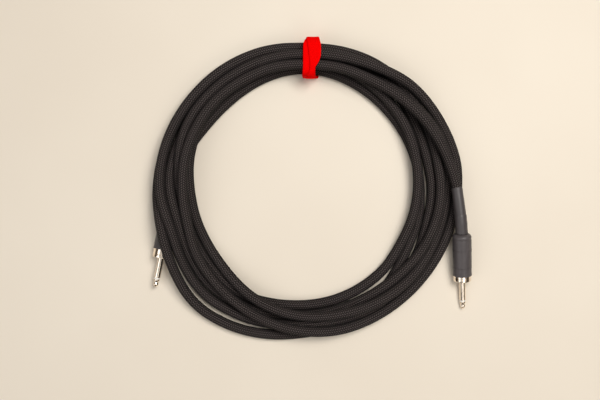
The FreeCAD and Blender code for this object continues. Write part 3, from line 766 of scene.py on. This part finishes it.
SHRINK_END = 80.3
SHRINK_MOUTH = 5.84
INNER_SLACK = 0.06
BOOT_FRONT = 76.0
BOOT_BORE = 5.26
BOOT_CORNERS = [
    (BOOT_FRONT, BOOT_BORE, 0),
    (BOOT_FRONT, 5.68, 0.1),
    (90.0, 5.72, 1.0),
    (99.0, 5.66, 1.0),
    (103.0, 5.72, 1.0),
    (109.0, 5.63, 1.0),
    (114.0, 5.69, 1.0),
    (121.0, 5.62, 1.0),
    (BOOT_END - 2.5, 5.66, 0.8),
    (BOOT_END - 0.5, 5.58, 0.3),
    (BOOT_END, 5.52, 0.1),
    (BOOT_END, BOOT_BORE, 0),
]
CUFF_FRONT = 80.8
CUFF_END = 99.8
CUFF_BORE = 5.74
CUFF_CORNERS = [
    (CUFF_FRONT, CUFF_BORE, 0),
    (CUFF_FRONT, 6.3, 0.15),
    (82.5, 6.24, 0.6),
    (86.0, 6.12, 1.0),
    (90.0, 6.2, 1.0),
    (94.5, 6.06, 1.0),
    (98.6, 6.12, 0.6),
    (CUFF_END, 5.98, 0.3),
    (CUFF_END, CUFF_BORE, 0),
]


def shrink_outline(front):
    """Heat-shrink over a barrel: a rolled front edge, faint ridges, a crease and a soft shoulder."""
    inside = BARREL_RADIUS + INNER_SLACK
    outside = inside + 0.5
    return [
        (front, inside, 0),
        (front, outside + 0.1, 0.2),
        (front + 1.2, outside + 0.08, 0.5),
        (front + 2.4, outside - 0.08, 0.8),
        (44.2, outside - 0.04, 1.2),
        (45.2, outside + 0.1, 0.6),
        (46.4, outside - 0.04, 0.8),
        (56.0, outside + 0.02, 3.0),
        (62.6, outside - 0.05, 1.5),
        (63.4, outside + 0.06, 0.5),
        (64.4, outside - 0.04, 0.8),
        (73.8, outside + 0.02, 1.2),
        (74.9, outside - 0.28, 0.5),
        (76.2, outside + 0.03, 0.8),
        (78.2, outside - 0.15, 1.0),
        (SHRINK_END, 7.3, 0.9),
        (SHRINK_END, SHRINK_MOUTH, 0),
        (BARREL_END + 0.05, SHRINK_MOUTH, 0),
        (BARREL_END + 0.05, 6.9, 0),
        (77.6, inside, 0),
    ]


def sheath_outline(corners):
    """An outline measured from the plug's tip, in millimetres, as one along the cable in metres."""
    return [((place - CORD_FRONT) * MM, radius * MM, turn * MM) for place, radius, turn in corners]


SLOTS = {part["node"]: part["material_slot"] for part in frame["record"]["subparts"]}


def dress_plug(side, plug, line, shrink_front):
    """Makes the detailed pieces of one plug, each in place of its plain node, and returns them."""
    metal = MATERIALS["nickel"]
    ring = MATERIALS["white_plastic"]
    shrink = MATERIALS["heat_shrink"]
    boot = MATERIALS["boot_shrink"]
    pieces = {
        "tip_contact": lathe(side + "_jack_tip", plug, TIP_OUTLINE, metal),
        "tip_insulator": lathe(side + "_jack_insulator", plug, INSULATOR_OUTLINE, ring),
        "sleeve": lathe(side + "_jack_sleeve", plug, SLEEVE_OUTLINE, metal),
        "barrel_shrink": lathe(side + "_shrink_tube", plug, shrink_outline(shrink_front), shrink),
        "boot": sheath(side + "_boot_tube", line, sheath_outline(BOOT_CORNERS), boot),
        "boot_cuff": sheath(side + "_cuff_tube", line, sheath_outline(CUFF_CORNERS), boot),
    }
    for node, piece in pieces.items():
        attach(piece, "root")
        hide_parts(side + "_" + node)
    return list(pieces.values())


RIGHT_SHRINK_FRONT = 36.3
LEFT_SHRINK_FRONT = 39.3
dress_plug("right", RIGHT_PLUG, cable_line, RIGHT_SHRINK_FRONT)
left_pieces = dress_plug("left", LEFT_PLUG, cable_line[::-1], LEFT_SHRINK_FRONT)

# ------------------------------------------------------------------ the tie
# The band's edges along X, its thickness, the box round its outside (low Y, high Y, low Z, high Z), and
# the radius of its corners.
TIE_LEFT = -10.0
TIE_RIGHT = 6.5
TIE_WALL = 1.5
TIE_BOX = (112.4, 150.5, 0.0, 32.6)
TIE_CORNER = 8.0
# The layer outside the band: its gap to the band, its thickness, the height of its hinge, the left edge,
# foot and top of the part below the hinge, and how low the tab comes.
FLAP_GAP = 0.3
FLAP_WALL = 1.4
HINGE_HEIGHT = 26.5
ROOT_LEFT = -7.0
ROOT_FLOOR = 8.0
ROOT_TOP = 22.9
TAB_END = 22.6
# The strap's mesh, its thinner woven edge, and how fast and how far its surface ripples.
ARC_STEP = 9.0
STRAP_STEP = 1.2
STRAP_COLUMNS = 14
SELVAGE = 1.1
RIPPLE_ACROSS = 0.16
RIPPLE_ALONG = 0.13
TIE_RIPPLE = 0.3
ROOT_RIPPLE = 0.15


def arc_points(centre, radius, start, end):
    """Points on an arc in the plane across the tie, angles in degrees from outwards to up."""
    count = max(2, int(abs(end - start) / ARC_STEP))
    angles = np.radians(np.linspace(start, end, count + 1))
    y, z = centre
    return [(y + radius * math.cos(angle), z + radius * math.sin(angle)) for angle in angles]


def evenly(points, step):
    """Points about a step apart along a polyline."""
    path = np.array(points)
    lengths = np.concatenate([[0], np.cumsum(np.linalg.norm(np.diff(path, axis=0), axis=1))])
    places = np.linspace(0, lengths[-1], int(round(lengths[-1] / step)) + 1)
    return np.column_stack([np.interp(places, lengths, path[:, axis]) for axis in (0, 1)])


def around_tie(distance):
    """Corner centres and radius of the rounded outline at a distance outside the tie's band."""
    inner, outer, low, high = TIE_BOX
    centres = {
        "outer_low": (outer - TIE_CORNER, low + TIE_CORNER),
        "outer_high": (outer - TIE_CORNER, high - TIE_CORNER),
        "inner_high": (inner + TIE_CORNER, high - TIE_CORNER),
        "inner_low": (inner + TIE_CORNER, low + TIE_CORNER),
    }
    return centres, TIE_CORNER + distance


def strap(name, path, edges, wall, closed, material, ripple):
    """A flat woven strap along a path of (Y, Z) points. edges gives its left and right X at each."""
    count = len(path)
    points = []
    for index in range(count):
        before = path[index - 1] if closed or index else path[0]
        after = path[(index + 1) % count] if closed or index < count - 1 else path[-1]
        run = (after - before) / np.linalg.norm(after - before)
        normal = np.array([run[1], -run[0]])
        y, z = path[index]
        left, right = edges[index]
        across = [left + (right - left) * column / STRAP_COLUMNS for column in range(STRAP_COLUMNS + 1)]
        sides = [(place, 1) for place in across] + [(place, -1) for place in reversed(across)]
        for place, sign in sides:
            edge = min(place - left, right - place)
            thin = 0.5 + 0.5 * math.sqrt(min(max(edge, 0.0) / SELVAGE, 1.0))
            spot = Vector((place * RIPPLE_ACROSS, y * RIPPLE_ALONG, z * RIPPLE_ALONG))
            away = wall / 2 * thin * sign + ripple * noise.noise(spot)
            points.append((place * MM, (y + normal[0] * away) * MM, (z + normal[1] * away) * MM))
    ring = 2 * (STRAP_COLUMNS + 1)
    faces = []
    for index in range(count if closed else count - 1):
        low = index * ring
        high = (index + 1) % count * ring
        for step in range(ring):
            after = (step + 1) % ring
            faces.append((low + step, low + after, high + after, high + step))
    if not closed:
        faces.append(tuple(range(ring)))
        faces.append(tuple(range(count * ring - 1, (count - 1) * ring - 1, -1)))
    piece = mesh_object(name, points, faces, material)
    weld(piece)
    smooth = piece.modifiers.new("soft", "SUBSURF")
    smooth.levels = 1
    smooth.render_levels = 1
    return piece


# The band's left and right edge where it crosses over the bundle, by Y, and the heights it eases over.
BAND_EDGES = [
    (112.4, -11.0, 2.8),
    (116.0, -10.4, 2.4),
    (122.0, -10.0, 2.6),
    (140.0, -10.0, 4.5),
    (145.0, -9.6, 5.5),
    (148.0, -8.4, 6.0),
    (150.5, -6.9, 6.5),
]
BAND_EASE = (3.0, 22.0)


def tie_band():
    """The strap's closed turn round the cable."""
    centres, radius = around_tie(-TIE_WALL / 2)
    outline = []
    for corner, start in (("outer_low", -90), ("outer_high", 0), ("inner_high", 90), ("inner_low", 180)):
        outline += arc_points(centres[corner], radius, start, start + 90)
    outline.append(outline[0])
    path = evenly(outline, STRAP_STEP)[:-1]
    places, lefts, rights = zip(*BAND_EDGES)
    low, high = BAND_EASE
    edges = []
    for y, z in path:
        top = min(max((z - low) / (high - low), 0.0), 1.0)
        left = TIE_LEFT + top * (np.interp(y, places, lefts) - TIE_LEFT)
        right = TIE_RIGHT + top * (np.interp(y, places, rights) - TIE_RIGHT)
        edges.append((left, right))
    return strap("tie_band", path, edges, TIE_WALL, True, MATERIALS["tie_fabric"], TIE_RIPPLE)


def tie_root():
    """The second layer on the tie's outer side, up to where the loose end hinges."""
    middle = TIE_BOX[1] + FLAP_GAP + FLAP_WALL / 2
    path = evenly([(middle, ROOT_FLOOR), (middle, ROOT_TOP)], STRAP_STEP)
    edges = [(ROOT_LEFT, TIE_RIGHT)] * len(path)
    return strap("tie_root", path, edges, FLAP_WALL, False, MATERIALS["tie_fabric"], ROOT_RIPPLE)


# Left and right edge of the loose end, by how far in Y it has come over the bundle.
FLAP_EDGES = [
    (107.5, -7.6, 3.2),
    (109.6, -7.9, 2.9),
    (111.6, -7.0, 1.9),
    (114.0, -4.6, 0.9),
    (117.0, -3.4, 1.0),
    (121.0, -3.1, 2.9),
    (125.5, -3.3, 5.9),
    (131.0, -3.9, 7.9),
    (138.0, -4.8, 8.2),
    (144.0, -5.7, 7.9),
    (148.0, -6.3, 7.0),
    (150.0, -6.6, 6.6),
    (152.5, -6.9, 6.4),
]
# How far the tab curls in, and its bends: (share of the curl, height above the tab's end).
TAB_CURL = 1.5
TAB_BENDS = [(0.3, 2.4), (1.0, 1.2)]


def tie_tail():
    """The strap's loose end: from its hinge over the bundle, necked in, then out to a curled tab."""
    centres, radius = around_tie(FLAP_GAP + FLAP_WALL / 2)
    outline = [(centres["outer_high"][0] + radius, HINGE_HEIGHT - FLAP_WALL / 2)]
    outline += arc_points(centres["outer_high"], radius, 0, 90)
    outline += arc_points(centres["inner_high"], radius, 90, 180)
    edge = centres["inner_high"][0] - radius
    outline += [(edge - TAB_CURL * share, TAB_END + rise) for share, rise in TAB_BENDS]
    path = evenly(outline, STRAP_STEP)
    places, lefts, rights = zip(*FLAP_EDGES)
    edges = [(np.interp(y, places, lefts), np.interp(y, places, rights)) for y, z in path]
    return strap("tie_tail", path, edges, FLAP_WALL, False, MATERIALS["tie_fabric"], TIE_RIPPLE)


band = tie_band()
root_layer = tie_root()
tail = tie_tail()
for piece in (band, root_layer):
    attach(piece, "root")
    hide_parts("tie_wrap")
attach(tail, "flap")
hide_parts("tie_flap")

# ------------------------------------------------------------------ carried-over nodes
for node_name, node in frame["nodes"].items():
    node.data.materials.clear()
    node.data.materials.append(MATERIALS[SLOTS[node_name]])

# ------------------------------------------------------------------ floor and light
bpy.context.scene.view_settings.view_transform = "Standard"
FLOOR_SPAN = 16.0


def floor():
    """A plain pale surface with a faint uneven tone."""
    stone = Surface("pale_floor", (0.76, 0.70, 0.62), 0.75)
    tone = stone.range(stone.noise(3.0, 3.0), 0.35, 0.65, 0.0, 1.0)
    stone.colour(stone.blend(tone, (0.725, 0.66, 0.562), (0.695, 0.627, 0.53)))
    half = FLOOR_SPAN / 2
    corners = [(-half, -half, 0), (half, -half, 0), (half, half, 0), (-half, half, 0)]
    plane = mesh_object("floor", corners, [(0, 1, 2, 3)], stone.material)


def lamp(name, place, size, power, colour):
    """A soft square lamp that points at the middle of the floor."""
    data = bpy.data.lights.new(name, "AREA")
    data.shape = "SQUARE"
    data.size = size
    data.energy = power
    data.color = colour
    thing = bpy.data.objects.new(name, data)
    thing.location = place
    thing.rotation_euler = Vector(place).to_track_quat("Z", "Y").to_euler()
    bpy.context.collection.objects.link(thing)


def surroundings():
    """A soft studio: bright overhead, darker and warmer all round, and pale again at the horizon."""
    world = bpy.data.worlds.new("studio")
    bpy.context.scene.world = world
    world.use_nodes = True
    nodes = world.node_tree.nodes
    links = world.node_tree.links
    split = nodes.new("ShaderNodeSeparateXYZ")
    links.new(nodes.new("ShaderNodeTexCoord").outputs["Generated"], split.inputs[0])
    ramp = nodes.new("ShaderNodeValToRGB")
    links.new(split.outputs["Z"], ramp.inputs["Fac"])
    ramp.color_ramp.elements[0].position = 0.0
    ramp.color_ramp.elements[0].color = (0.62, 0.56, 0.48, 1)
    ramp.color_ramp.elements[1].position = 0.85
    ramp.color_ramp.elements[1].color = (1.0, 0.97, 0.93, 1)
    for place in (0.22, 0.5):
        dark = ramp.color_ramp.elements.new(place)
        dark.color = (0.15, 0.105, 0.07, 1)
    links.new(ramp.outputs["Color"], nodes["Background"].inputs["Color"])
    nodes["Background"].inputs["Strength"].default_value = 0.5


floor()
surroundings()
lamp("key", (0.42, 0.36, 1.35), 0.7, 18.5, (1.0, 0.97, 0.93))
lamp("fill", (-1.1, -0.5, 1.2), 1.2, 6.0, (0.96, 0.97, 1.0))
lamp("glint", (0.40, -0.78, 1.1), 0.5, 1.6, (1.0, 0.96, 0.90))
